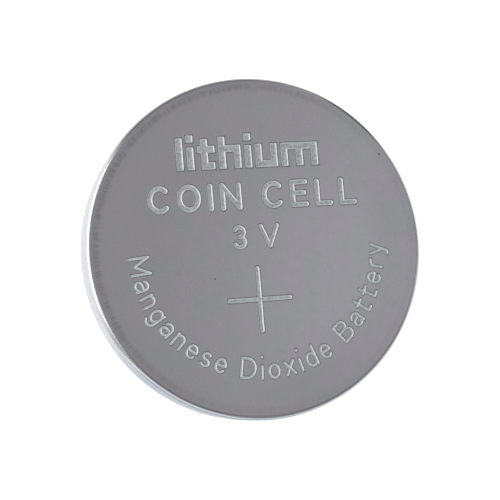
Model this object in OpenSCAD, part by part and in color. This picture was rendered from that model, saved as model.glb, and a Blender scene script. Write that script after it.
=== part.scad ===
// Lithium coin cell, lying on its negative cap with its positive face up.
// Origin: middle of the negative contact face, on the surface it lies on.
// +Z runs out of the positive face, and the marks on that face read along +X.
// All sizes are in millimetres.

/* [Cell] */
// Outside diameter over the can's wall
cell_d = 20; // [16:0.1:24.5]
// Height over both contact faces
cell_h = 3.2; // [2.5:0.1:5]

/* [Positive can] */
// Thickness of the can's steel
can_t = 0.25; // [0.2:0.01:0.3]
// Outside radius of the rounded edge around the positive face
can_edge_r = 0.3; // [0.27:0.01:0.6]
// Outside radius of the crimp that turns the can's wall in under the cell
crimp_r = 0.8; // [0.76:0.01:0.9]
// Angle that the crimp is turned through, where 90 would lay its lip level
crimp_turn = 80; // [70:1:88]
// Height of the crimp's lowest point over the negative contact face
crimp_lift = 0.1; // [0.05:0.01:0.15]

/* [Negative cap] */
// Thickness of the cap's steel
cap_t = 0.25; // [0.2:0.01:0.3]
// Inside radius of both bends in the step between contact face and ledge
step_r = 0.3; // [0.25:0.01:0.4]
// Width of the flat ledge between the step and the bend up into the skirt
ledge_w = 0.39; // [0.35:0.01:0.6]

/* [Gasket] */
// Thickness of the gasket where it is squeezed between can and cap
gasket_t = 0.2; // [0.15:0.01:0.25]
// Depth of the gasket's floor, which the skirt of the cap stands on
gasket_floor_t = 0.35; // [0.25:0.05:0.5]
// Length of the gasket's inner flange along the inside of the skirt
flange_len = 0.8; // [0.4:0.1:1.2]
// Thickness of the inner flange
flange_t = 0.2; // [0.15:0.01:0.3]
// Width of the ring of gasket that shows between the crimp's lip and the cap
gasket_show = 0.35; // [0.25:0.01:0.45]

/* [Inside] */
// Thickness of the lithium disc
anode_t = 0.7; // [0.66:0.02:0.9]
// Room around the lithium disc on the flat of the cap
anode_gap = 0.2; // [0.05:0.05:1]
// Thickness of the separator
separator_t = 0.15; // [0.1:0.01:0.2]
// Room between the separator and the gasket's flange
separator_gap = 0.2; // [0.05:0.05:0.5]
// Room between the collector's rim and the gasket's flange
collector_gap = 0.92; // [0.3:0.02:1.5]
// Thickness of the current collector's steel
collector_t = 0.1; // [0.05:0.01:0.15]
// Height of the collector's rim around the pellet
collector_rim = 0.6; // [0.25:0.05:1]
// Bevel on both edges of the pressed pellet
pellet_bevel = 0.12; // [0.1:0.01:0.2]

/* [Marks] */
// Depth of the marks stamped into the positive face
mark_depth = 0.06; // [0.02:0.01:0.1]
// Width of a stamped stroke
mark_w = 0.29; // [0.15:0.01:0.35]
// Distance of the marks' shared middle from the middle of the face, along X
marks_x = -0.15; // [-0.5:0.05:0.5]
// Length of each arm of the plus sign, from end to end
plus_span = 3.95; // [2:0.05:5]
// Distance from the middle of the face down to the middle of the plus sign
plus_drop = 3.04; // [2.7:0.01:4]
// Height of the figure and the letter of the voltage
volts_h = 1.5; // [1:0.05:2]
// Distance from the middle of the face up to the foot of the voltage, negative for below
volts_rise = -0.13; // [-0.5:0.01:1]
// Distance between the middles of the figure and the letter
volts_pitch = 1.8; // [1.4:0.05:2.5]
// Width of the letter
letter_w = 1.3; // [0.8:0.05:1.6]

/* [Fit] */
// Clearance between round faces that nest in each other
fit = 0.02; // [0.01:0.005:0.03]

/* [Hidden] */

$fn = 96;
arc_steps = 8;
cell_r = cell_d / 2;

// Inside faces of the two shells, which the stack fills from one to the other
floor_z = cap_t;
roof_z = cell_h - can_t;

// The crimp, the gasket and the cap's outer bend turn about one centre
bend = [cell_r - crimp_r, crimp_lift + crimp_r];
gasket_bend_r = crimp_r - can_t - fit;
slot_bend_r = gasket_bend_r - gasket_t;
cap_bend_r = slot_bend_r - fit;
lip_r = bend.x + crimp_r * cos(crimp_turn);

// The cap's ledge over the crimp, and its skirt up into the gasket
ledge_z = bend.y - cap_bend_r;
skirt_r = bend.x + cap_bend_r;
skirt_top = roof_z - gasket_floor_t;

// The step is an S of two equal bends, as high as the ledge
step_mid_r = step_r + cap_t / 2;
step_turn = acos(1 - ledge_z / (2 * step_mid_r));
step_out = bend.x - ledge_w;
contact_r = step_out - 2 * step_mid_r * sin(step_turn);

// The gasket's wall, and the flange inside the skirt
gasket_r = cell_r - can_t - fit;
flange_r = skirt_r - cap_t - fit;
flange_in = flange_r - flange_t;

// The stack, from the cap's floor to the can's roof
anode_r = contact_r - anode_gap;
separator_r = flange_in - separator_gap;
collector_r = flange_in - collector_gap;
collector_bend_r = 2 * collector_t;
cathode_r = collector_r - collector_t - fit;
separator_z = floor_z + anode_t;
cathode_z = separator_z + separator_t;
collector_z = roof_z - collector_t;

// Points of an arc about c, from one angle to another
function arc(c, r, from, to) =
    [for (i = [0:arc_steps]) let (a = from + (to - from) * i / arc_steps) c + r * [cos(a), sin(a)]];

// A solid of revolution about Z from its half section
module turned(section) {
    rotate_extrude() polygon(section);
}

// A disc from height low to height high
module disc(r, low, high) {
    translate([0, 0, low]) cylinder(r = r, h = high - low);
}

// A straight stroke with round ends
module stroke(a, b) {
    run = b - a;
    translate(a) rotate(atan2(run.y, run.x)) translate([0, -mark_w / 2]) square([norm(run), mark_w]);
    for (end = [a, b]) translate(end) circle(d = mark_w);
}

// A curved stroke with round ends, open on its left side
module bowl(c, r, from, to) {
    far = 2 * (r + mark_w);
    translate(c) difference() {
        circle(r + mark_w / 2);
        circle(r - mark_w / 2);
        polygon([[0, 0], far * [cos(to), sin(to)], [-far, 0], far * [cos(from), sin(from)]]);
    }
    for (a = [from, to]) translate(c + r * [cos(a), sin(a)]) circle(d = mark_w);
}

module plus_mark() {
    arm = (plus_span - mark_w) / 2;
    stroke([-arm, 0], [arm, 0]);
    stroke([0, -arm], [0, arm]);
}

// The figure 3, standing on y = 0: a lower bowl, and a slightly smaller one on it
module three_mark() {
    line_h = volts_h - mark_w;
    low_r = line_h * 0.26;
    high_r = line_h / 2 - low_r;
    bowl([0, mark_w / 2 + low_r], low_r, -155, 90);
    bowl([0, volts_h - mark_w / 2 - high_r], high_r, -90, 150);
}

// The letter V, standing on y = 0
module letter_mark() {
    foot = [0, mark_w / 2];
    reach = [(letter_w - mark_w) / 2, volts_h - mark_w];
    for (side = [-1, 1]) stroke(foot, foot + [side * reach.x, reach.y]);
}

module marks() {
    translate([marks_x, 0]) {
        translate([0, -plus_drop]) plus_mark();
        translate([-volts_pitch / 2, volts_rise]) three_mark();
        translate([volts_pitch / 2, volts_rise]) letter_mark();
    }
}

// Drawn steel cup: positive face, wall, and the crimp that closes the cell
module positive_can() {
    edge = [cell_r - can_edge_r, cell_h - can_edge_r];
    section = concat(
        [[0, cell_h]],
        arc(edge, can_edge_r, 90, 0),
        arc(bend, crimp_r, 0, -crimp_turn),
        arc(bend, crimp_r - can_t, -crimp_turn, 0),
        arc(edge, can_edge_r - can_t, 0, 90),
        [[0, roof_z]]
    );
    color([0.62, 0.63, 0.65]) difference() {
        turned(section);
        translate([0, 0, cell_h - mark_depth]) linear_extrude(2 * mark_depth) marks();
    }
}

// Pressed steel cap: contact face, step, ledge under the gasket, and skirt
module negative_cap() {
    rise = [contact_r, step_r + cap_t];
    fall = [step_out, ledge_z - step_r];
    section = concat(
        [[0, 0]],
        arc(rise, step_r + cap_t, -90, step_turn - 90),
        arc(fall, step_r, step_turn + 90, 90),
        arc(bend, cap_bend_r, -90, 0),
        [[skirt_r, skirt_top], [skirt_r - cap_t, skirt_top]],
        arc(bend, cap_bend_r - cap_t, 0, -90),
        arc(fall, step_r + cap_t, 90, step_turn + 90),
        arc(rise, step_r, step_turn - 90, -90),
        [[0, floor_z]]
    );
    color([0.72, 0.72, 0.73]) turned(section);
}

// Moulded plastic ring: strip under the ledge, wall, floor and inner flange
module gasket() {
    edge_r = can_edge_r - can_t;
    edge = [gasket_r - edge_r, roof_z - edge_r];
    strip_r = lip_r - gasket_show;
    flange_z = skirt_top - flange_len;
    section = concat(
        [[strip_r, bend.y - gasket_bend_r]],
        arc(bend, gasket_bend_r, -90, 0),
        arc(edge, edge_r, 0, 90),
        [[flange_in, roof_z], [flange_in, flange_z], [flange_r, flange_z]],
        [[flange_r, skirt_top], [skirt_r + fit, skirt_top]],
        arc(bend, slot_bend_r, 0, -90),
        [[strip_r, bend.y - slot_bend_r]]
    );
    color([0.86, 0.85, 0.80]) turned(section);
}

module lithium_anode() {
    color([0.80, 0.80, 0.78]) disc(anode_r, floor_z, separator_z);
}

module separator() {
    color([0.95, 0.94, 0.90]) disc(separator_r, separator_z, cathode_z);
}

// Disc of pressed powder, bevelled so that it clears the bend of the collector
module cathode_pellet() {
    flat_r = cathode_r - pellet_bevel;
    section = [
        [0, cathode_z], [flat_r, cathode_z], [cathode_r, cathode_z + pellet_bevel],
        [cathode_r, collector_z - pellet_bevel], [flat_r, collector_z], [0, collector_z]
    ];
    color([0.14, 0.14, 0.15]) turned(section);
}

// Thin steel dish that holds the pellet and lies against the can's roof
module current_collector() {
    rim_z = collector_z - collector_rim;
    edge = [collector_r - collector_bend_r, roof_z - collector_bend_r];
    section = concat(
        [[0, roof_z]],
        arc(edge, collector_bend_r, 90, 0),
        [[collector_r, rim_z], [collector_r - collector_t, rim_z]],
        arc(edge, collector_bend_r - collector_t, 0, 90),
        [[0, collector_z]]
    );
    color([0.66, 0.67, 0.68]) turned(section);
}

positive_can();
negative_cap();
gasket();
lithium_anode();
separator();
cathode_pellet();
current_collector();
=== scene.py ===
"""Looks of the lithium coin cell: two steel shells, the gasket, the stamped marks and a studio.

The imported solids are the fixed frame. Lengths in the properties are in metres, as Blender keeps
them, and the functions that work out a shape use millimetres, as the solids' source does.
"""

import math
from types import SimpleNamespace

import bmesh
import bpy
import numpy as np
from bpy.props import FloatProperty, FloatVectorProperty, PointerProperty, StringProperty
from mathutils import Matrix, Vector
from mathutils.geometry import delaunay_2d_cdt


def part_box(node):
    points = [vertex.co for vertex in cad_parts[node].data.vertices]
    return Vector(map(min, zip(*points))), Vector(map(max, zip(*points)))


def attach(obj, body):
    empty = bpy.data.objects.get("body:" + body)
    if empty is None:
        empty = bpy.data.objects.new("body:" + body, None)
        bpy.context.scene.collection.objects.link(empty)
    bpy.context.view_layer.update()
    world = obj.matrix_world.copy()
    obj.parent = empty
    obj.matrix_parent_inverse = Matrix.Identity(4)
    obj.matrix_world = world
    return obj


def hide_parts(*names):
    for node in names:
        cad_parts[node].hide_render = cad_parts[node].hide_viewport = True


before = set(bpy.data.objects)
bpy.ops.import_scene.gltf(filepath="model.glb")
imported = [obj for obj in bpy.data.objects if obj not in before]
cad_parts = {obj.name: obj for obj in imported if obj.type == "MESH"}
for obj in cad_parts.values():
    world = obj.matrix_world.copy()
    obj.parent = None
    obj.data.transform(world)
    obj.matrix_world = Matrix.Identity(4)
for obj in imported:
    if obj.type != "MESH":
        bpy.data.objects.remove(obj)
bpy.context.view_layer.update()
CAN_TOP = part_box("positive_can")[1]

bl_info = {
    "name": "Coin cell",
    "version": (1, 0, 0),
    "blender": (4, 5, 0),
    "location": "3D View > Sidebar > Coin cell",
    "description": "Builds the shells, gasket, marks and finishes of a coin cell, and its studio",
    "category": "Add Mesh",
}

MM = 0.001
QUARTER = math.pi / 2
BODY = "root"

# Steps of a full turn, of a bend, and of the bends and ends that want more or fewer
SPIN_STEPS = 360
ARC_STEPS = 14
EDGE_STEPS = 20
CRIMP_STEPS = 24
END_STEPS = 8
HIDDEN_STEPS = 6
# Rings along the can's straight wall, and those of the contact face as shares of its radius
WALL_RINGS = 6
CONTACT_RINGS = (0.25, 0.5, 0.75, 0.9)


def distance(name, description, millimetres):
    """A length property with its default in millimetres."""
    return FloatProperty(
        name=name, description=description, default=millimetres * MM, unit="LENGTH", precision=6
    )


def angle(name, description, degrees):
    """An angle property with its default in degrees."""
    return FloatProperty(
        name=name, description=description, default=math.radians(degrees), unit="ROTATION"
    )


def colour(name, description, *tone):
    """A colour property with its default as red, green and blue in linear light."""
    return FloatVectorProperty(
        name=name, description=description, default=tone, subtype="COLOR", min=0, max=1
    )


def words(name, description, default):
    """A text property."""
    return StringProperty(name=name, description=description, default=default)


class CellSizes(bpy.types.PropertyGroup):
    """Sizes of the shells and the gasket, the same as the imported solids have."""

    radius: distance("Radius", "Outside radius of the can's wall", CAN_TOP.x / MM)
    height: distance("Height", "Height over both contact faces", CAN_TOP.z / MM)
    can_steel: distance("Can steel", "Thickness of the can", 0.25)
    can_edge: distance("Can edge", "Outside radius of the edge around the positive face", 0.3)
    crimp: distance("Crimp", "Outside radius of the crimp", 0.8)
    crimp_turn: angle("Crimp turn", "Angle that the crimp is turned through", 80)
    crimp_lift: distance("Crimp lift", "Height of the crimp over the negative contact face", 0.1)
    cap_steel: distance("Cap steel", "Thickness of the cap", 0.25)
    step: distance("Step", "Inside radius of both bends in the cap's step", 0.3)
    ledge: distance("Ledge", "Width of the cap's flat ledge", 0.39)
    gasket: distance("Gasket", "Thickness of the gasket between the shells", 0.2)
    gasket_floor: distance("Gasket floor", "Depth of the gasket under the cap's skirt", 0.35)
    flange_length: distance("Flange length", "Length of the gasket's inner flange", 0.8)
    flange: distance("Flange", "Thickness of the gasket's inner flange", 0.2)
    gasket_show: distance("Gasket ring", "Width of the ring of gasket that shows", 0.35)
    fit: distance("Fit", "Clearance between round faces that nest", 0.02)


class MarkSizes(bpy.types.PropertyGroup):
    """Sizes and places of the marks stamped into the positive face."""

    title_text: words("Title", "Word in the bold top row", "lithium")
    kind_text: words("Kind", "Words in the second row", "COIN CELL")
    volts_text: words("Voltage", "Voltage in the third row", "3 V")
    arc_text: words("Arc", "Words along the lower edge", "Manganese Dioxide Battery")
    middle: distance("Middle", "Middle of the title, the voltage and the plus, along X", -0.15)
    depth: distance("Depth", "Depth of a stamped stroke", 0.06)
    slope: distance("Slope", "Width of a stroke's sloping side", 0.115)
    title_height: distance("Title height", "Height of the bold top row", 1.98)
    title_width: distance("Title width", "Width of the bold top row", 8.61)
    title_place: distance("Title place", "Foot of the top row above the face's middle", 4.62)
    title_stroke: distance("Title stroke", "Width of a bold stroke", 0.50)
    kind_height: distance("Kind height", "Height of the second row", 1.71)
    kind_width: distance("Kind width", "Width of the second row", 12.65)
    kind_place: distance("Kind place", "Foot of the second row above the face's middle", 2.17)
    kind_stroke: distance("Kind stroke", "Width of a stroke in the second row", 0.39)
    volts_height: distance("Voltage height", "Height of the voltage", 1.5)
    volts_place: distance("Voltage place", "Foot of the voltage above the face's middle", -0.13)
    volts_pitch: distance("Voltage pitch", "Distance between the figure and the letter", 1.8)
    volts_stroke: distance("Voltage stroke", "Width of a stroke of the voltage and the plus", 0.33)
    plus_span: distance("Plus span", "Length of each arm of the plus sign", 3.95)
    plus_place: distance("Plus place", "Middle of the plus sign below the face's middle", 3.04)
    arc_radius: distance("Arc radius", "Radius of the circle that the arc's letters stand on", 7.72)
    arc_height: distance("Arc height", "Height of the arc's capitals", 1.35)
    arc_stroke: distance("Arc stroke", "Width of a stroke in the arc", 0.235)
    arc_span: angle("Arc span", "Angle from the first to the last letter of the arc", 177)


class CellColours(bpy.types.PropertyGroup):
    """Colours of the cell's materials."""

    can: colour("Can", "Nickel-plated steel of the can", 0.80, 0.795, 0.82)
    wall: colour("Wall", "Drawn wall of the can", 0.51, 0.53, 0.55)
    # Painted shade: the wall's lower side is darkened towards this colour
    wall_shade: colour("Wall haze", "Haze on the wall's shaded side", 0.25, 0.30, 0.345)
    stroke: colour("Stroke", "Rough floor of a stamped stroke", 0.86, 0.895, 0.905)
    stroke_pits: colour("Stroke pits", "Pits in a stroke's floor", 0.63, 0.66, 0.675)
    # Painted highlight: the bright line at the foot of each stroke
    stroke_highlight: colour("Stroke line", "Bright line at the foot of a stroke", 0.98, 1.0, 1.0)
    cap: colour("Cap", "Nickel-plated steel of the cap", 0.78, 0.78, 0.77)
    gasket: colour("Gasket", "Natural plastic of the gasket", 0.62, 0.60, 0.53)
    lithium: colour("Lithium", "Dull rolled lithium", 0.50, 0.50, 0.47)
    separator: colour("Separator", "Bleached non-woven felt", 0.80, 0.79, 0.74)
    oxide: colour("Oxide", "Pressed black oxide powder", 0.012, 0.012, 0.013)
    collector: colour("Collector", "Thin stainless sheet", 0.56, 0.56, 0.55)
    floor: colour("Floor", "Pale studio floor", 0.86, 0.86, 0.865)


class StudioSettings(bpy.types.PropertyGroup):
    """Place and framing of the camera."""

    tilt: angle("Tilt", "Angle between the view and the cell's axis", 15.56)
    heading: angle("Heading", "Direction that the camera leans to, from +X", 200.8)
    roll: angle("Roll", "Turn of the picture about the view", 4.2)
    reach: distance("Reach", "Distance from the camera to the positive face", 79.6)
    field: distance("Field", "Width of the picture at the positive face", 28.987)
    shift_x: FloatProperty(name="Shift X", description="Sideways shift of the lens", default=-0.016)
    shift_y: FloatProperty(name="Shift Y", description="Upward shift of the lens", default=-0.0064)


CELL_PROPERTIES = {
    "cell_sizes": CellSizes,
    "mark_sizes": MarkSizes,
    "cell_colours": CellColours,
    "studio": StudioSettings,
}


def in_millimetres(group):
    """The values of a property group, with each length in millimetres."""
    values = {}
    for name in type(group).__annotations__:
        value = getattr(group, name)
        length = group.bl_rna.properties[name].unit == "LENGTH"
        values[name] = value / MM if length else value
    return SimpleNamespace(**values)


def arc(centre, radius, start, end, steps=ARC_STEPS):
    """Points of an arc about centre, from one angle to another in radians."""
    turns = np.linspace(start, end, steps + 1)
    return [(centre[0] + radius * math.cos(t), centre[1] + radius * math.sin(t)) for t in turns]


def shell_lines(size):
    """Radii and heights that the can, the gasket and the cap share, as in the solids' source."""
    middle = size.step + size.cap_steel / 2
    line = SimpleNamespace(bend=(size.radius - size.crimp, size.crimp_lift + size.crimp))
    line.lip = line.bend[0] + size.crimp * math.cos(size.crimp_turn)
    line.gasket_bend = size.crimp - size.can_steel - size.fit
    line.slot_bend = line.gasket_bend - size.gasket
    line.cap_bend = line.slot_bend - size.fit
    line.roof = size.height - size.can_steel
    line.skirt = line.bend[0] + line.cap_bend
    line.skirt_top = line.roof - size.gasket_floor
    line.ledge_z = line.bend[1] - line.cap_bend
    line.step_turn = math.acos(1 - line.ledge_z / (2 * middle))
    line.step_out = line.bend[0] - size.ledge
    line.contact = line.step_out - 2 * middle * math.sin(line.step_turn)
    return line


def can_section(size, line):
    """Half section of the can from the end of its flat face round to the middle of its roof."""
    edge = (size.radius - size.can_edge, size.height - size.can_edge)
    inner = size.crimp - size.can_steel
    middle = (size.crimp + inner) / 2
    half = size.can_steel / 2
    turn = size.crimp_turn
    lip = (line.bend[0] + middle * math.cos(turn), line.bend[1] - middle * math.sin(turn))
    heights = np.linspace(edge[1], line.bend[1], WALL_RINGS + 2)[1:-1]
    return (
        arc(edge, size.can_edge, QUARTER, 0, EDGE_STEPS)
        + [(size.radius, z) for z in heights]
        + arc(line.bend, size.crimp, 0, -turn, CRIMP_STEPS)[:-1]
        + arc(lip, half, -turn, -turn - math.pi, END_STEPS)
        + arc(line.bend, inner, -turn, 0)[1:]
        + arc(edge, size.can_edge - size.can_steel, 0, QUARTER, HIDDEN_STEPS)
        + [(0, line.roof)]
    )


def cap_section(size, line):
    """Half section of the cap, from the middle of its contact face round to the inside."""
    rise = (line.contact, size.step + size.cap_steel)
    fall = (line.step_out, line.ledge_z - size.step)
    outer = size.step + size.cap_steel
    top = (line.skirt - size.cap_steel / 2, line.skirt_top - size.cap_steel / 2)
    inside_bend = line.cap_bend - size.cap_steel
    return (
        [(0, 0)]
        + [(line.contact * share, 0) for share in CONTACT_RINGS]
        + arc(rise, outer, -QUARTER, line.step_turn - QUARTER)
        + arc(fall, size.step, line.step_turn + QUARTER, QUARTER)[1:]
        + arc(line.bend, line.cap_bend, -QUARTER, 0)
        + arc(top, size.cap_steel / 2, 0, math.pi, END_STEPS)
        + arc(line.bend, inside_bend, 0, -QUARTER, HIDDEN_STEPS)
        + arc(fall, outer, QUARTER, line.step_turn + QUARTER)
        + arc(rise, size.step, line.step_turn - QUARTER, -QUARTER)[1:]
        + [(0, size.cap_steel)]
    )


def gasket_section(size, line):
    """Half section of the gasket, as a closed loop that starts at its ring in the open."""
    edge_r = size.can_edge - size.can_steel
    outer = size.radius - size.can_steel - size.fit
    edge = (outer - edge_r, line.roof - edge_r)
    ring = line.lip - size.gasket_show
    ring_end = (ring + size.gasket / 2, line.bend[1] - (line.gasket_bend + line.slot_bend) / 2)
    flange_out = line.skirt - size.cap_steel - size.fit
    flange_in = flange_out - size.flange
    flange_z = line.skirt_top - size.flange_length
    flange_end = (flange_in + size.flange / 2, flange_z + size.flange / 2)
    return (
        arc(line.bend, line.gasket_bend, -QUARTER, 0)
        + arc(edge, edge_r, 0, QUARTER, HIDDEN_STEPS)
        + [(flange_in, line.roof)]
        + arc(flange_end, size.flange / 2, math.pi, 2 * math.pi, END_STEPS)
        + [(flange_out, line.skirt_top), (line.skirt + size.fit, line.skirt_top)]
        + arc(line.bend, line.slot_bend, 0, -QUARTER)
        + arc(ring_end, size.gasket / 2, QUARTER, 3 * QUARTER, END_STEPS)
    )


def turned(section, closed=False, steps=SPIN_STEPS):
    """Vertices and faces of a half section turned about Z. A point on the axis is one vertex."""
    turns = np.linspace(0, 2 * math.pi, steps, endpoint=False)
    verts, rings = [], []
    for radius, z in section:
        first = len(verts)
        if radius == 0:
            verts.append((0, 0, z))
            rings.append([first] * steps)
        else:
            verts.extend((radius * math.cos(t), radius * math.sin(t), z) for t in turns)
            rings.append(list(range(first, first + steps)))
    pairs = list(zip(rings, rings[1:]))
    if closed:
        pairs.append((rings[-1], rings[0]))
    faces = []
    for ring, next_ring in pairs:
        for here in range(steps):
            after = (here + 1) % steps
            corners = [ring[here], next_ring[here], next_ring[after], ring[after]]
            faces.append(list(dict.fromkeys(corners)))
    return verts, faces


def bow(x, y, wide, high, start, end, steps=20):
    """Points of part of an oval, as shares of a letter's height, with angles in degrees."""
    turns = np.radians(np.linspace(start, end, steps + 1))
    return [(x + wide * math.cos(t), y + high * math.sin(t)) for t in turns]


# Each letter: its width, then its strokes, all as shares of a capital's height
LETTERS = {
    "B": (
        0.68,
        [
            [(0.40, 0.53), (0, 0.53), (0, 1), (0.38, 1)]
            + bow(0.38, 0.765, 0.24, 0.235, 90, -90)[1:],
            [(0, 0.53), (0, 0), (0.40, 0)] + bow(0.40, 0.265, 0.28, 0.265, -90, 90)[1:],
        ],
    ),
    "C": (0.76, [bow(0.42, 0.5, 0.42, 0.5, 48, 312, 32)]),
    "D": (
        0.72,
        [[(0.28, 0), (0, 0), (0, 1), (0.28, 1)] + bow(0.28, 0.5, 0.44, 0.5, 90, -90)[1:]],
    ),
    "E": (0.60, [[(0.60, 1), (0, 1), (0, 0), (0.60, 0)], [(0, 0.52), (0.52, 0.52)]]),
    "I": (0.0, [[(0, 0), (0, 1)]]),
    "L": (0.58, [[(0, 1), (0, 0), (0.58, 0)]]),
    "M": (0.84, [[(0, 0), (0, 1), (0.42, 0.2), (0.84, 1), (0.84, 0)]]),
    "N": (0.74, [[(0, 0), (0, 1), (0.74, 0), (0.74, 1)]]),
    "O": (0.84, [bow(0.42, 0.5, 0.42, 0.5, 0, 360, 44)]),
    "V": (0.84, [[(0, 1), (0.42, 0), (0.84, 1)]]),
    "3": (
        0.52,
        [bow(0.26, 0.26, 0.26, 0.26, -155, 90) + bow(0.26, 0.76, 0.24, 0.24, -90, 150)[1:]],
    ),
    "a": (
        0.48,
        [
            bow(0.25, 0.43, 0.23, 0.23, 155, 0) + [(0.48, 0)],
            [(0.48, 0.37), (0.22, 0.37)]
            + bow(0.22, 0.185, 0.22, 0.185, 90, 290)[1:]
            + [(0.48, 0.15)],
        ],
    ),
    "d": (0.50, [[(0.50, 1), (0.50, 0)], bow(0.25, 0.33, 0.25, 0.33, 0, 360, 32)]),
    "e": (0.50, [[(0.01, 0.35), (0.50, 0.35)] + bow(0.25, 0.33, 0.25, 0.33, 10, 318, 28)]),
    "g": (
        0.50,
        [
            bow(0.25, 0.33, 0.25, 0.33, 0, 360, 32),
            [(0.50, 0.66), (0.50, -0.06)] + bow(0.25, -0.06, 0.25, 0.24, 0, -150)[1:],
        ],
    ),
    "h": (0.62, [[(0, 1), (0, 0)], [(0, 0.66), (0.62, 0.66), (0.62, 0)]]),
    "i": (0.0, [[(0, 0.62), (0, 0)], [(0, 1.09), (0, 1.1)]]),
    "l": (0.0, [[(0, 1), (0, 0)]]),
    "m": (1.24, [[(0, 0), (0, 0.66), (1.24, 0.66), (1.24, 0)], [(0.62, 0.66), (0.62, 0)]]),
    "n": (
        0.47,
        [[(0, 0.66), (0, 0)], [(0, 0.39)] + bow(0.235, 0.42, 0.235, 0.24, 180, 0) + [(0.47, 0)]],
    ),
    "o": (0.52, [bow(0.26, 0.33, 0.26, 0.33, 0, 360, 32)]),
    "r": (0.30, [[(0, 0.66), (0, 0)], [(0, 0.38)] + bow(0.26, 0.40, 0.26, 0.26, 180, 80)]),
    "s": (0.42, [bow(0.21, 0.5, 0.19, 0.16, 35, 270)[:-1] + bow(0.21, 0.17, 0.21, 0.17, 90, -145)]),
    "t": (0.42, [[(0.14, 0.94), (0.14, 0), (0.40, 0)], [(0, 0.66), (0.42, 0.66)]]),
    "u": (0.62, [[(0, 0.66), (0, 0), (0.62, 0), (0.62, 0.66)]]),
    "x": (0.46, [[(0, 0), (0.46, 0.66)], [(0, 0.66), (0.46, 0)]]),
    "y": (0.48, [[(0, 0.66), (0.24, 0.02)], [(0.48, 0.66), (0.18, -0.22), (0.02, -0.27)]]),
}
# Width of a word space, as a share of a capital's height
WORD_SPACE = 0.34
# Cosine of the turn over which a corner of a stroke is rounded on its outside
SHARP_TURN = math.cos(math.radians(25))
# The fewest places around a round end or corner
FEWEST_ROUND = 8


class Stroke:
    """One stamped line, with its points in millimetres, its half width and its kind of ends."""

    def __init__(self, points, half, square=False):
        self.points = np.array(points, float)
        self.half = half
        self.square = square

    def runs(self):
        """Start, unit direction and length of each straight run."""
        for a, b in zip(self.points, self.points[1:]):
            length = math.dist(a, b)
            yield a, (b - a) / length, length

    def distance(self, places):
        """Signed distance from places to the stroke's edge, negative inside it."""
        nearest = np.full(len(places), np.inf)
        for start, along, length in self.runs():
            offset = places - start
            run = offset @ along
            aside = np.abs(offset @ np.array([-along[1], along[0]]))
            if self.square:
                past = np.maximum(-run, run - length) - self.half
                over = aside - self.half
                outside = np.hypot(np.maximum(past, 0), np.maximum(over, 0))
                gap = outside + np.minimum(np.maximum(past, over), 0)
            else:
                past = np.maximum(np.maximum(-run, run - length), 0)
                gap = np.hypot(past, aside) - self.half
            nearest = np.minimum(nearest, gap)
        return nearest

    def outline(self, level, spacing):
        """Places at about that distance from the stroke's edge, some of which other runs cover."""
        reach = self.half + level
        places = []
        for start, along, length in self.runs():
            aside = np.array([-along[1], along[0]])
            first, last = (-reach, length + reach) if self.square else (0, length)
            count = max(1, round((last - first) / spacing))
            for share in np.linspace(first, last, count + 1):
                places += [start + along * share + aside * side for side in (-reach, reach)]
            if self.square:
                count = max(1, round(2 * reach / spacing))
                for share in np.linspace(-reach, reach, count + 1)[1:-1]:
                    places += [start + along * end + aside * share for end in (first, last)]
        if not self.square:
            for corner in self.corners():
                count = max(FEWEST_ROUND, round(2 * math.pi * reach / spacing))
                places += [np.array(p) for p in arc(corner, reach, 0, 2 * math.pi, count)]
        return places

    def corners(self):
        """The stroke's ends, and the points where it turns sharply."""
        directions = [along for _, along, _ in self.runs()]
        yield self.points[0]
        yield self.points[-1]
        for point, before, after in zip(self.points[1:-1], directions, directions[1:]):
            if before @ after < SHARP_TURN:
                yield point


def letter_strokes(letter, height, width, square=False):
    """Strokes of one letter of that height over all, on y = 0, its middle lines from x = 0."""
    scale = height - width
    _, lines = LETTERS[letter]
    return [Stroke(np.array(line) * scale + (0, width / 2), width / 2, square) for line in lines]


def letter_widths(text, height, stroke):
    """Widths over all of a row's letters and word spaces."""
    scale = height - stroke
    return [LETTERS[c][0] * scale + stroke if c != " " else WORD_SPACE * scale for c in text]


def row(text, height, width, stroke, square=False):
    """Strokes of a row of letters that is that wide over all, about x = 0 and standing on y = 0."""
    widths = letter_widths(text, height, stroke)
    gap = (width - sum(widths)) / (len(text) - 1)
    strokes, x = [], -width / 2
    for letter, wide in zip(text, widths):
        if letter != " ":
            for line in letter_strokes(letter, height, stroke, square):
                line.points += (x + stroke / 2, 0)
                strokes.append(line)
        x += wide + gap
    return strokes


def curved_row(text, height, stroke, radius, span):
    """Strokes of a row of letters along a circle, feet outward, about the circle's lowest point."""
    widths = letter_widths(text, height, stroke)
    gap = (span * radius - sum(widths)) / (len(text) - 1)
    strokes, along = [], -span * radius / 2
    for letter, wide in zip(text, widths):
        turn = (along + wide / 2) / radius
        along += wide + gap
        if letter == " ":
            continue
        right = np.array([math.cos(turn), math.sin(turn)])
        down = np.array([math.sin(turn), -math.cos(turn)])
        for line in letter_strokes(letter, height, stroke):
            x = line.points[:, :1] - (wide - stroke) / 2
            y = line.points[:, 1:]
            line.points = right * x + down * (radius - y)
            strokes.append(line)
    return strokes


def plus_strokes(span, stroke):
    """Strokes of a plus sign about the origin."""
    arm = (span - stroke) / 2
    return [Stroke([(-arm, 0), (arm, 0)], stroke / 2), Stroke([(0, -arm), (0, arm)], stroke / 2)]


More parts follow.
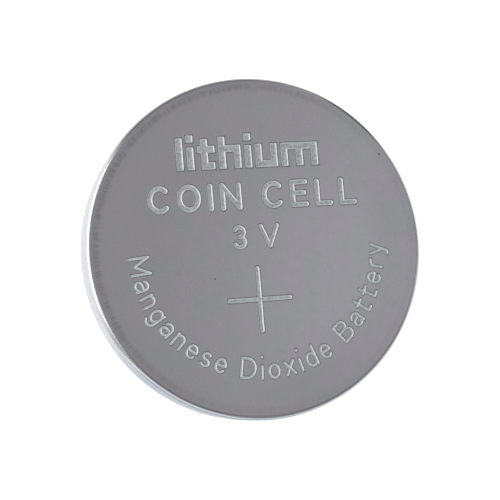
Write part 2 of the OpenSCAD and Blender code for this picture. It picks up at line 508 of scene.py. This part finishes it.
def stamped_strokes(mark):
    """Every stroke on the positive face, in its place."""
    title = row(
        mark.title_text, mark.title_height, mark.title_width, mark.title_stroke, square=True
    )
    kind = row(mark.kind_text, mark.kind_height, mark.kind_width, mark.kind_stroke)
    plus = plus_strokes(mark.plus_span, mark.volts_stroke)
    curved = curved_row(
        mark.arc_text, mark.arc_height, mark.arc_stroke, mark.arc_radius, mark.arc_span
    )
    groups = [
        (mark.middle, mark.title_place, title),
        (0, mark.kind_place, kind),
        (mark.middle, -mark.plus_place, plus),
        (0, 0, curved),
    ]
    for side, letter in zip((-1, 1), mark.volts_text.split()):
        lines = letter_strokes(letter, mark.volts_height, mark.volts_stroke)
        half = LETTERS[letter][0] * (mark.volts_height - mark.volts_stroke) / 2
        for line in lines:
            line.points += (side * mark.volts_pitch / 2 - half, 0)
        groups.append((mark.middle, mark.volts_place, lines))
    strokes = []
    for aside, rise, lines in groups:
        for line in lines:
            line.points += (aside, rise)
            strokes.append(line)
    return strokes


# How far from a stroke its shape and its finer triangles reach, in millimetres
REACH = 0.6


def edge_distance(places, strokes):
    """Signed distance from each place to the nearest stroke's edge, or REACH where none is near."""
    nearest = np.full(len(places), REACH)
    for stroke in strokes:
        margin = stroke.half + REACH
        low, high = stroke.points.min(axis=0) - margin, stroke.points.max(axis=0) + margin
        near = np.flatnonzero(((places > low) & (places < high)).all(axis=1))
        nearest[near] = np.minimum(nearest[near], stroke.distance(places[near]))
    return nearest


def grid(spacing, radius):
    """Places of a triangular grid inside a circle."""
    rise = spacing * math.sqrt(3) / 2
    count = int(radius / rise) + 1
    xs = np.arange(-radius - spacing, radius + spacing, spacing)
    x, line = np.meshgrid(xs, np.arange(-count, count + 1))
    x = x + line % 2 * spacing / 2
    places = np.column_stack([x.ravel(), (line * rise).ravel()])
    return places[np.hypot(*places.T) < radius]


# Shares of a stroke's side at which the mesh follows it, from the plain face to the floor
SIDE_SHARES = (-0.35, 0.0, 0.16, 0.32, 0.5, 0.68, 0.84, 1.0)
# Spacing of the places along a stroke, and how far one may lie from its line, in millimetres
CONTOUR_SPACING = 0.07
CONTOUR_TOLERANCE = 0.004
# Cells of this width hold one place each, and places this near are one, in millimetres
SNAP = 0.012
MERGE = 1e-6
# Spacing of each plain grid, and the distances from a stroke's edge between which it applies
GRIDS = ((0.14, -math.inf, -0.12), (0.2, 0.09, 0.35), (0.5, 0.3, math.inf))
# The triangulation's setting that keeps the faces inside the rim
FACES_INSIDE = 1


def stamped_face(radius, mark):
    """Vertices and faces of the positive face with its stamped strokes, at z = 0 outside them."""
    strokes = stamped_strokes(mark)
    layers = []
    for share in SIDE_SHARES:
        level = -share * mark.slope
        places = np.array([p for stroke in strokes for p in stroke.outline(level, CONTOUR_SPACING)])
        gap = edge_distance(places, strokes)
        layers.append(places[np.abs(gap - level) < CONTOUR_TOLERANCE])
    spines = [np.array(s.outline(-s.half, CONTOUR_SPACING)) for s in strokes if not s.square]
    layers.append(np.vstack(spines))
    for spacing, low, high in GRIDS:
        places = grid(spacing, radius - spacing)
        gap = edge_distance(places, strokes)
        layers.append(places[(gap > low) & (gap < high)])
    places = np.vstack(layers)
    places = places[np.unique(np.round(places / SNAP).astype(int), axis=0, return_index=True)[1]]
    rim = np.array(arc((0, 0), radius, 0, 2 * math.pi, SPIN_STEPS)[:-1])
    places = np.vstack([rim, places])
    edges = [(here, (here + 1) % len(rim)) for here in range(len(rim))]
    corners = [Vector(p) for p in places]
    flat, _, faces, *_ = delaunay_2d_cdt(corners, edges, [], FACES_INSIDE, MERGE)
    flat = np.array([tuple(p) for p in flat])
    share = np.clip(-edge_distance(flat, strokes) / mark.slope, 0, 1)
    z = -mark.depth * share * share * (3 - 2 * share)
    return np.column_stack([flat, z]).tolist(), [list(face) for face in faces]


# Points of two parts that are this near are joined, in millimetres
WELD = 0.0005


def add_piece(name, parts, finish, node):
    """An object from (vertices, faces) parts in millimetres, which stands for a CAD node."""
    mesh = bpy.data.meshes.new(name)
    build = bmesh.new()
    for verts, faces in parts:
        made = [build.verts.new(Vector(v) * MM) for v in verts]
        for face in faces:
            build.faces.new([made[i] for i in face])
    bmesh.ops.remove_doubles(build, verts=build.verts, dist=WELD * MM)
    bmesh.ops.recalc_face_normals(build, faces=build.faces)
    build.to_mesh(mesh)
    build.free()
    mesh.polygons.foreach_set("use_smooth", [True] * len(mesh.polygons))
    mesh.materials.append(finish)
    piece = bpy.data.objects.new(name, mesh)
    bpy.context.scene.collection.objects.link(piece)
    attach(piece, BODY)
    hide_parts(node)


class Number:
    """A number that varies over a surface. Arithmetic on it adds Math nodes."""

    def __init__(self, nodes, socket):
        self.nodes, self.socket = nodes, socket

    def math(self, operation, *terms):
        outputs = self.nodes.add("ShaderNodeMath", {"operation": operation}, terms)
        return Number(self.nodes, outputs[0])

    def __add__(self, other):
        return self.math("ADD", self, other)

    def __sub__(self, other):
        return self.math("SUBTRACT", self, other)

    def __rsub__(self, other):
        return self.math("SUBTRACT", other, self)

    def __mul__(self, other):
        return self.math("MULTIPLY", self, other)

    def __truediv__(self, other):
        return self.math("DIVIDE", self, other)

    __radd__ = __add__
    __rmul__ = __mul__

    def larger(self, other):
        """The larger of two numbers."""
        return self.math("MAXIMUM", self, other)

    def ramp(self, low, high):
        """0 at low and below, 1 at high and above, and smooth between them."""
        settings = {"interpolation_type": "SMOOTHSTEP"}
        values = {"Value": self, "From Min": low, "From Max": high}
        return Number(self.nodes, self.nodes.add("ShaderNodeMapRange", settings, values)[0])


class Nodes:
    """The node tree of a material or the world."""

    def __init__(self, owner):
        owner.use_nodes = True
        self.owner = owner
        self.tree = owner.node_tree
        self.tree.nodes.clear()

    def add(self, kind, settings=None, sockets=None):
        """The outputs of a new node. Its inputs go by place, identifier or name."""
        node = self.tree.nodes.new(kind)
        for key, value in (settings or {}).items():
            setattr(node, key, value)
        pairs = sockets.items() if isinstance(sockets, dict) else enumerate(sockets or ())
        for key, value in pairs:
            identified = [s for s in node.inputs if s.identifier == key]
            socket = identified[0] if identified else node.inputs[key]
            if isinstance(value, Number):
                value = value.socket
            if isinstance(value, bpy.types.NodeSocket):
                self.tree.links.new(value, socket)
            else:
                socket.default_value = value
        return node.outputs

    def place(self):
        """The place on the cell in millimetres, as a vector."""
        here = self.add("ShaderNodeTexCoord")["Object"]
        sockets = {0: here, "Scale": 1 / MM}
        return self.add("ShaderNodeVectorMath", {"operation": "SCALE"}, sockets)[0]

    def measure(self, operation, *terms):
        """A Vector Math node's number, such as a length or a distance."""
        outputs = self.add("ShaderNodeVectorMath", {"operation": operation}, terms)
        return Number(self, outputs["Value"])

    def split(self, vector):
        """The three numbers of a vector."""
        return [Number(self, s) for s in self.add("ShaderNodeSeparateXYZ", None, [vector])]

    def join(self, *numbers):
        """A vector from three numbers."""
        return self.add("ShaderNodeCombineXYZ", None, numbers)[0]

    def noise(self, vector, scale=1.0, detail=3.0, roughness=0.6, distortion=0.0):
        """Noise from 0 to 1, with scale in waves to the millimetre."""
        values = {
            "Vector": vector,
            "Scale": scale,
            "Detail": detail,
            "Roughness": roughness,
            "Distortion": distortion,
        }
        return Number(self, self.add("ShaderNodeTexNoise", None, values)["Fac"])

    def mix(self, low, high, factor):
        """A colour between two others."""
        values = {"Factor_Float": factor, "A_Color": rgba(low), "B_Color": rgba(high)}
        return self.add("ShaderNodeMix", {"data_type": "RGBA"}, values)[2]

    def bump(self, height, depth):
        """A normal from a height between 0 and 1 that stands for that many millimetres."""
        values = {"Strength": 1.0, "Distance": depth * MM, "Height": height}
        return self.add("ShaderNodeBump", None, values)[0]

    def surface(self, metallic, tone, rough, others):
        """The Principled shader and the output, with the other sockets by name."""
        sockets = {"Metallic": metallic, "Base Color": tone, "Roughness": rough} | others
        shader = self.add("ShaderNodeBsdfPrincipled", None, sockets)[0]
        self.add("ShaderNodeOutputMaterial", {"target": "ALL"}, {"Surface": shader})
        return self.owner


def rgba(value):
    """A colour with its alpha, or a socket as it is."""
    if isinstance(value, bpy.types.NodeSocket):
        return value
    return (*value[:3], 1.0)


def shade(colour, factor):
    """A colour made darker or lighter."""
    return tuple(min(1.0, c * factor) for c in colour)


# Dark specks in the plating of the positive face: x, y and radius in millimetres
SPECKS = ((7.94, 5.12, 0.075), (-2.70, -1.70, 0.06))
# Depths below the positive face, in millimetres, over which a part of the finish starts or ends:
# the flat face, the painted dark reflection on its edge, the wall and the crimp
FACE_END = (0.1, 0.15)
PAINTED_EDGE_START = (0.015, 0.04)
PAINTED_EDGE_END = (0.22, 0.27)
WALL_START = (0.18, 0.26)
CRIMP_START = (2.3, 2.9)
# The same for a stroke: its rough steel, the dark line at its top, the painted highlight at its
# foot
ROUGH_START = (0.002, 0.024)
DARK_START = (0.0003, 0.002)
DARK_END = (0.012, 0.024)
PAINTED_HIGHLIGHT_START = (0.020, 0.030)
PAINTED_HIGHLIGHT_END = (0.0575, 0.0598)
# Distances inward from the flat face's edge: its margin, and both sides of its faint ring
FACE_MARGIN = (0.0, 0.1)
RING_OUTSIDE = (0.0, 0.18)
RING_INSIDE = (0.30, 0.55)
# Radii over which the face's outer part, with its painted light and painted shade sides, and the
# words along its edge, start
OUTER_START = (5.8, 8.4)
WORDS_START = (5.6, 6.0)


def can_places(nodes, size):
    """Coordinates on the can, and the masks of its flat face, wall and lower side."""
    place = nodes.place()
    x, y, z = nodes.split(place)
    radius = nodes.measure("LENGTH", nodes.join(x, y, 0.0))
    at = SimpleNamespace(place=place, z=z, radius=radius, across=x / radius, along=y / radius)
    at.sunk = size.height - z
    at.inward = size.radius - size.can_edge - radius
    at.low_side = (at.along * -1).ramp(0.5, 0.8)
    at.wall = (at.sunk * (1 + at.low_side)).ramp(*WALL_START)
    at.face = at.inward.ramp(*FACE_MARGIN) * (1 - at.sunk.ramp(*FACE_END))
    return at


def towards(at, x, y):
    """How far a place lies to one side of the can: 1 straight towards (x, y), and -1 opposite."""
    return at.across * x + at.along * y


def face_ring(nodes, at):
    """The faint flecked ring inside the face's edge, stronger towards the upper left."""
    band = (1 - at.inward.ramp(*RING_INSIDE)) * at.inward.ramp(*RING_OUTSIDE) * (1 - at.wall)
    flecks = nodes.noise(nodes.join(at.across * 55.0, at.along * 55.0, at.radius * 1.6))
    upper_left = towards(at, -0.9, 0.43).ramp(-0.5, 0.8)
    return band * (0.35 + 0.65 * flecks.ramp(0.42, 0.58)) * (0.25 + 0.75 * upper_left)


def painted_edge_reflection(at):
    """A painted dark reflection on the rounded edge, with its own strength on each side of the can.
    """
    right = towards(at, 0.91, 0.41).ramp(0.72, 0.95)
    low_left = towards(at, -0.66, -0.75).ramp(0.8, 0.95)
    left = (at.across * -1).ramp(0.6, 0.9)
    top = at.along.ramp(0.5, 0.75)
    depth = at.sunk * (1 + 4 * at.low_side + 2 * right)
    line = depth.ramp(*PAINTED_EDGE_START) * (1 - at.face) * (1 - depth.ramp(*PAINTED_EDGE_END))
    return line * (0.08 + 0.62 * top + 0.38 * low_left + 0.45 * right + 0.15 * left)


def face_specks(nodes, at, size):
    """The dark specks in the plating."""
    specks = 0.0
    for x, y, radius in SPECKS:
        gap = nodes.measure("DISTANCE", at.place, (x, y, size.height))
        specks = specks + (1 - gap.ramp(radius * 0.5, radius))
    return specks


def can_finish(colours, size):
    """Nickel-plated steel: satin face with rough stamped strokes, and a brighter drawn wall."""
    steel = colours.can
    nodes = Nodes(bpy.data.materials.new("can_nickel"))
    at = can_places(nodes, size)
    clouds = nodes.noise(at.place, scale=0.55, roughness=0.55)
    mottle = nodes.noise(at.place, scale=2.2, detail=4.0)
    grain = nodes.noise(at.place, scale=14.0)
    pits = nodes.noise(at.place, scale=6.0, roughness=0.7)
    draw = nodes.noise(nodes.join(at.across * 60.0, at.along * 60.0, at.z * 0.6), detail=4.0)
    draw = draw * (1 - at.sunk.ramp(*CRIMP_START))
    # Painted shade on the wall's lower side, with real drawn streaks mixed in
    shade_and_streaks = towards(at, -0.34, -0.94).ramp(0.7, 0.92) * 0.8 + draw.ramp(0.35, 0.7) * 0.2
    ring = face_ring(nodes, at)
    specks = face_specks(nodes, at, size)

    outer = at.radius.ramp(*OUTER_START)
    # Painted shade on the outer lower right of the face, and painted light on its outer upper left
    painted_shade_side = outer * towards(at, 0.85, -0.53).ramp(0.25, 0.85)
    painted_light_side = outer * towards(at, -0.8, 0.6).ramp(-0.1, 0.7)
    faint_words = at.radius.ramp(*WORDS_START) * (1 - at.along.ramp(0.1, 0.25))
    faint_words = faint_words * (0.3 + 0.7 * at.across.ramp(-0.4, 0.3))
    stroke = at.sunk.ramp(*ROUGH_START) * at.face
    dark_line = at.sunk.ramp(*DARK_START) * (1 - at.sunk.ramp(*DARK_END)) * at.face
    # Painted highlight along the foot of each stroke
    painted_highlight_line = at.sunk.ramp(*PAINTED_HIGHLIGHT_START) * (1 - at.sunk.ramp(*PAINTED_HIGHLIGHT_END))

    warm = (steel[0] * 1.01, steel[1] * 0.985, steel[2] * 1.01)
    cool = (steel[0] * 0.97, steel[1] * 1.005, steel[2] * 0.985)
    floor = nodes.mix(colours.stroke_pits, colours.stroke, pits.ramp(0.35, 0.6))
    # The stroke floor with its painted highlight line
    floor = nodes.mix(floor, colours.stroke_highlight, painted_highlight_line * (0.85 - 0.25 * faint_words))
    tone = nodes.mix(warm, cool, clouds.ramp(0.35, 0.65))
    # Tones laid over it in turn, and how much of each shows
    for over, amount in (
        (shade(steel, 0.9), (1 - at.wall) * mottle.ramp(0.5, 0.75) * 0.3),
        # Painted shade on the face's lower right, then painted light on its upper left
        (shade(steel, 0.5), painted_shade_side * 0.2),
        ((0.98, 0.98, 1.0), painted_light_side * 0.2),
        (shade(steel, 0.78), ring),
        # The wall's tone, with painted shade on its lower side
        (nodes.mix(colours.wall, colours.wall_shade, shade_and_streaks), at.wall),
        # Painted dark reflection along the rounded edge
        (shade(steel, 0.15), painted_edge_reflection(at)),
        ((0.05, 0.045, 0.04), specks * 0.85),
        (floor, stroke),
        (shade(steel, 0.35), dark_line * (0.8 - 0.3 * faint_words)),
    ):
        tone = nodes.mix(tone, over, amount)

    rough = 0.235 + 0.04 * (grain + mottle + ring) + 0.06 * at.wall + 0.25 * specks + 0.46 * stroke
    relief = grain * 0.35 + mottle * 0.25 + at.wall * draw * 0.35 + pits * stroke * 4.0
    return nodes.surface(1.0, tone, rough, {"Normal": nodes.bump(relief, 0.0022)})


def cap_finish(colour):
    """Nickel-plated steel of the cap: satin, with faint turned lines and handling scuffs."""
    nodes = Nodes(bpy.data.materials.new("cap_nickel"))
    place = nodes.place()
    x, y, z = nodes.split(place)
    radius = nodes.measure("LENGTH", nodes.join(x, y, 0.0))
    clouds = nodes.noise(place, scale=0.5, roughness=0.55)
    grain = nodes.noise(place, scale=16.0)
    lines = nodes.noise(nodes.join(radius * 9.0, 0.0, 0.0), roughness=0.7)
    stretched = nodes.join(x * 0.35 + y * 0.2, y * 3.2 - x * 1.6, z)
    scuff = nodes.noise(stretched, scale=1.4, detail=4.0, roughness=0.65).ramp(0.60, 0.72)
    tone = nodes.mix(shade(colour, 0.9), shade(colour, 1.04), clouds.ramp(0.3, 0.7))
    tone = nodes.mix(tone, shade(colour, 0.78), scuff * 0.5)
    rough = 0.30 + 0.06 * grain + 0.05 * lines + 0.10 * scuff
    relief = grain * 0.5 + lines * 0.5 - scuff * 0.4
    return nodes.surface(1.0, tone, rough, {"Normal": nodes.bump(relief, 0.002)})


def gasket_finish(colour):
    """Natural polypropylene, matt, with a little mould texture."""
    nodes = Nodes(bpy.data.materials.new("gasket_plastic"))
    place = nodes.place()
    clouds = nodes.noise(place, scale=1.1, roughness=0.55)
    skin = nodes.noise(place, scale=9.0)
    tone = nodes.mix(shade(colour, 0.86), shade(colour, 1.06), clouds.ramp(0.3, 0.7))
    rough = 0.42 + 0.16 * skin
    milky = {"IOR": 1.49, "Subsurface Weight": 0.12, "Subsurface Scale": 0.0003}
    return nodes.surface(0.0, tone, rough, milky | {"Normal": nodes.bump(skin, 0.004)})


def lithium_finish(colour):
    """Soft rolled lithium: dull grey metal with a dark patchy tarnish and faint roll lines."""
    nodes = Nodes(bpy.data.materials.new("lithium_metal"))
    place = nodes.place()
    x, y, _ = nodes.split(place)
    tarnish = nodes.noise(place, scale=0.7, detail=5.0, roughness=0.65)
    rolls = nodes.noise(nodes.join(x * 0.3, y * 14.0, 0.0))
    tone = nodes.mix(shade(colour, 0.55), shade(colour, 1.05), tarnish.ramp(0.35, 0.65))
    rough = 0.45 + 0.2 * tarnish + 0.08 * rolls
    return nodes.surface(1.0, tone, rough, {"Normal": nodes.bump(rolls, 0.004)})


def separator_finish(colour):
    """Non-woven felt of fine crossing fibres."""
    nodes = Nodes(bpy.data.materials.new("separator_felt"))
    x, y, _ = nodes.split(nodes.place())
    across = nodes.noise(nodes.join(x * 1.2, y * 12.0, 0.0), distortion=1.5)
    along = nodes.noise(nodes.join(x * 12.0, y * 1.2, 4.0), distortion=1.5)
    fibres = across.larger(along)
    tone = nodes.mix(shade(colour, 0.82), shade(colour, 1.08), fibres.ramp(0.4, 0.7))
    rough = 0.85 + 0.1 * fibres
    return nodes.surface(0.0, tone, rough, {"Normal": nodes.bump(fibres, 0.02)})


def oxide_finish(colour):
    """Pressed black powder with coarse and fine grains."""
    nodes = Nodes(bpy.data.materials.new("cathode_powder"))
    place = nodes.place()
    grains = nodes.noise(place, scale=7.0, detail=5.0, roughness=0.7)
    clods = nodes.noise(place, scale=1.6)
    lumps = (grains * 0.6 + clods * 0.4).ramp(0.35, 0.7)
    tone = nodes.mix(shade(colour, 0.7), shade(colour, 2.6), lumps)
    rough = 0.7 + 0.2 * grains
    return nodes.surface(0.0, tone, rough, {"Normal": nodes.bump(grains, 0.03)})


def collector_finish(colour):
    """Thin stainless sheet with its rolling lines."""
    nodes = Nodes(bpy.data.materials.new("collector_sheet"))
    place = nodes.place()
    x, y, _ = nodes.split(place)
    lines = nodes.noise(nodes.join(x * 0.4, y * 20.0, 0.0), detail=4.0)
    clouds = nodes.noise(place, scale=0.8, roughness=0.5)
    tone = nodes.mix(shade(colour, 0.88), shade(colour, 1.06), clouds * 0.5 + lines * 0.5)
    rough = 0.28 + 0.14 * lines
    return nodes.surface(1.0, tone, rough, {"Normal": nodes.bump(lines, 0.002)})


def floor_finish(colour):
    """Pale paper floor with a very faint tooth."""
    nodes = Nodes(bpy.data.materials.new("studio_paper"))
    tooth = nodes.noise(nodes.place(), scale=4.0)
    tone = nodes.mix(shade(colour, 0.985), shade(colour, 1.01), tooth)
    glow = {"Emission Color": rgba(colour), "Emission Strength": FLOOR_GLOW}
    return nodes.surface(0.0, tone, 0.9, glow)


class CELL_OT_add_can(bpy.types.Operator):
    """Add the positive can with its stamped face, its drawn wall and its crimp"""

    bl_idname = "cell.add_can"
    bl_label = "Positive can"
    bl_options = {"REGISTER", "UNDO"}

    def execute(self, context):
        size = in_millimetres(context.scene.cell_sizes)
        mark = in_millimetres(context.scene.mark_sizes)
        line = shell_lines(size)
        face_verts, faces = stamped_face(size.radius - size.can_edge, mark)
        face_verts = [(x, y, z + size.height) for x, y, z in face_verts]
        finish = can_finish(context.scene.cell_colours, size)
        body = turned(can_section(size, line))
        add_piece("can", [(face_verts, faces), body], finish, "positive_can")
        return {"FINISHED"}


class CELL_OT_add_cap(bpy.types.Operator):
    """Add the negative cap with its contact face, step, ledge and skirt"""

    bl_idname = "cell.add_cap"
    bl_label = "Negative cap"
    bl_options = {"REGISTER", "UNDO"}

    def execute(self, context):
        size = in_millimetres(context.scene.cell_sizes)
        finish = cap_finish(context.scene.cell_colours.cap)
        parts = [turned(cap_section(size, shell_lines(size)))]
        add_piece("cap", parts, finish, "negative_cap")
        return {"FINISHED"}


class CELL_OT_add_gasket(bpy.types.Operator):
    """Add the plastic ring between the can and the cap"""

    bl_idname = "cell.add_gasket"
    bl_label = "Gasket"
    bl_options = {"REGISTER", "UNDO"}

    def execute(self, context):
        size = in_millimetres(context.scene.cell_sizes)
        finish = gasket_finish(context.scene.cell_colours.gasket)
        parts = [turned(gasket_section(size, shell_lines(size)), closed=True)]
        add_piece("gasket_ring", parts, finish, "gasket")
        return {"FINISHED"}


class CELL_OT_finish_stack(bpy.types.Operator):
    """Give the four sealed pieces inside their finishes"""

    bl_idname = "cell.finish_stack"
    bl_label = "Inner stack"
    bl_options = {"REGISTER", "UNDO"}

    def execute(self, context):
        colours = context.scene.cell_colours
        finishes = {
            "lithium_anode": lithium_finish(colours.lithium),
            "separator": separator_finish(colours.separator),
            "cathode_pellet": oxide_finish(colours.oxide),
            "current_collector": collector_finish(colours.collector),
        }
        for node, finish in finishes.items():
            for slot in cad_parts[node].material_slots:
                slot.material = finish
        return {"FINISHED"}


# Distance of a lamp from the cell, and the floor's radius, in metres
LAMP_REACH = 0.30
FLOOR_RADIUS = 2.0
# How far the floor lies under the cell in millimetres, its steps, and its own faint light
FLOOR_DROP = 0.01
FLOOR_STEPS = 96
FLOOR_GLOW = 0.86
# Each lamp: name, heading from +X and height in degrees, width and height in metres, brightness
LAMPS = (("key", 172, 31, 0.40, 0.22, 2.0),)
# Tones of the surround, from overhead down, with the place and the reach of the glow overhead
ZENITH = (0.236, 0.230, 0.241)
GLOW = (0.61, 0.608, 0.64)
GLOW_PLACE = (0.36, 0.055, 0.93)
GLOW_REACH = (0.0, 0.26)
HORIZON = (0.25, 0.248, 0.258)
SKIRTING = (0.56, 0.57, 0.59)
# Heights between which the overhead tones and the horizon begin, as the sine of the angle
OVERHEAD_START = (0.45, 0.85)
HORIZON_START = (0.10, 0.30)
# Pale cards low in the surround: direction from the cell, and tone. Then how far one reaches
CARDS = (
    ((0.83, 0.38, 0.40), (0.62, 0.64, 0.65)),
    ((-0.46, -0.80, 0.38), (0.78, 0.80, 0.83)),
)
CARD_REACH = (0.35, 0.7)


class CELL_OT_add_studio(bpy.types.Operator):
    """Add the pale floor, the surround, the soft lamp and the camera"""

    bl_idname = "cell.add_studio"
    bl_label = "Studio"
    bl_options = {"REGISTER", "UNDO"}

    def execute(self, context):
        self.add_floor(context)
        self.add_sky(context)
        for lamp in LAMPS:
            self.add_lamp(context, *lamp)
        self.add_camera(context)
        context.scene.view_settings.view_transform = "Standard"
        return {"FINISHED"}

    def add_floor(self, context):
        """A wide pale disc just under the negative contact face."""
        section = [(0, 0), (FLOOR_RADIUS / 4, 0), (FLOOR_RADIUS, 0)]
        verts, faces = turned(section, steps=FLOOR_STEPS)
        verts = [(x, y, -FLOOR_DROP * MM) for x, y, _ in verts]
        mesh = bpy.data.meshes.new("floor")
        mesh.from_pydata(verts, [], [face[::-1] for face in faces])
        mesh.materials.append(floor_finish(context.scene.cell_colours.floor))
        floor = bpy.data.objects.new("floor", mesh)
        context.scene.collection.objects.link(floor)

    def add_sky(self, context):
        """A surround that is dim overhead and pale towards the horizon."""
        context.scene.world = bpy.data.worlds.new("studio_surround")
        nodes = Nodes(context.scene.world)
        direction = nodes.add("ShaderNodeTexCoord")["Generated"]
        height = nodes.split(direction)[2]
        aside = nodes.measure("DISTANCE", direction, GLOW_PLACE)
        overhead = nodes.mix(GLOW, ZENITH, aside.ramp(*GLOW_REACH))
        around = nodes.mix(SKIRTING, HORIZON, height.ramp(*HORIZON_START))
        for place, card in CARDS:
            gap = nodes.measure("DISTANCE", direction, place)
            around = nodes.mix(card, around, gap.ramp(*CARD_REACH))
        tone = nodes.mix(around, overhead, height.ramp(*OVERHEAD_START))
        light = nodes.add("ShaderNodeBackground", None, {"Color": tone, "Strength": 1.0})[0]
        nodes.add("ShaderNodeOutputWorld", None, {"Surface": light})

    def add_lamp(self, context, name, heading, height, wide, tall, brightness):
        """A soft rectangular lamp that faces the cell."""
        data = bpy.data.lights.new(name, "AREA")
        data.shape = "RECTANGLE"
        data.size, data.size_y = wide, tall
        data.energy = brightness * math.pi * wide * tall
        heading, height = math.radians(heading), math.radians(height)
        level = math.cos(height)
        away = Vector((math.cos(heading) * level, math.sin(heading) * level, math.sin(height)))
        lamp = bpy.data.objects.new(name, data)
        lamp.location = away * LAMP_REACH
        lamp.rotation_euler = away.to_track_quat("Z", "Y").to_euler()
        context.scene.collection.objects.link(lamp)

    def add_camera(self, context):
        """A camera that looks down on the positive face as the photograph does."""
        studio = context.scene.studio
        lean = Vector((math.cos(studio.heading), math.sin(studio.heading), 0))
        back = lean * math.sin(studio.tilt) + Vector((0, 0, math.cos(studio.tilt)))
        across = Vector((-lean.y, lean.x, 0))
        slope = across.cross(back)
        turn = studio.heading + studio.roll
        right = across * -math.sin(turn) + slope * math.cos(turn)
        up = across * math.cos(turn) + slope * math.sin(turn)
        data = bpy.data.cameras.new("camera")
        data.lens = data.sensor_width * studio.reach / studio.field
        data.clip_start, data.clip_end = studio.reach / 50, FLOOR_RADIUS * 3
        data.shift_x, data.shift_y = studio.shift_x, studio.shift_y
        camera = bpy.data.objects.new("camera", data)
        place = Vector((0, 0, context.scene.cell_sizes.height)) + back * studio.reach
        facing = Matrix((right, up, back)).transposed().to_4x4()
        camera.matrix_world = Matrix.Translation(place) @ facing
        context.scene.collection.objects.link(camera)
        context.scene.camera = camera


class CELL_PT_panel(bpy.types.Panel):
    """The cell's pieces, sizes and colours"""

    bl_label = "Coin cell"
    bl_space_type = "VIEW_3D"
    bl_region_type = "UI"
    bl_category = "Coin cell"

    def draw(self, context):
        layout = self.layout
        for operator in OPERATORS:
            layout.operator(operator.bl_idname)
        for name, group in CELL_PROPERTIES.items():
            box = layout.box()
            box.label(text=name.replace("_", " ").capitalize())
            for field in group.__annotations__:
                box.prop(getattr(context.scene, name), field)


OPERATORS = (
    CELL_OT_add_can,
    CELL_OT_add_cap,
    CELL_OT_add_gasket,
    CELL_OT_finish_stack,
    CELL_OT_add_studio,
)
CLASSES = (*CELL_PROPERTIES.values(), *OPERATORS, CELL_PT_panel)


def register():
    for each in CLASSES:
        bpy.utils.register_class(each)
    for name, group in CELL_PROPERTIES.items():
        setattr(bpy.types.Scene, name, PointerProperty(type=group))


def unregister():
    for name in CELL_PROPERTIES:
        delattr(bpy.types.Scene, name)
    for each in reversed(CLASSES):
        bpy.utils.unregister_class(each)


def main():
    register()
    bpy.ops.cell.add_can()
    bpy.ops.cell.add_cap()
    bpy.ops.cell.add_gasket()
    bpy.ops.cell.finish_stack()
    bpy.ops.cell.add_studio()


if __name__ == "__main__":
    main()
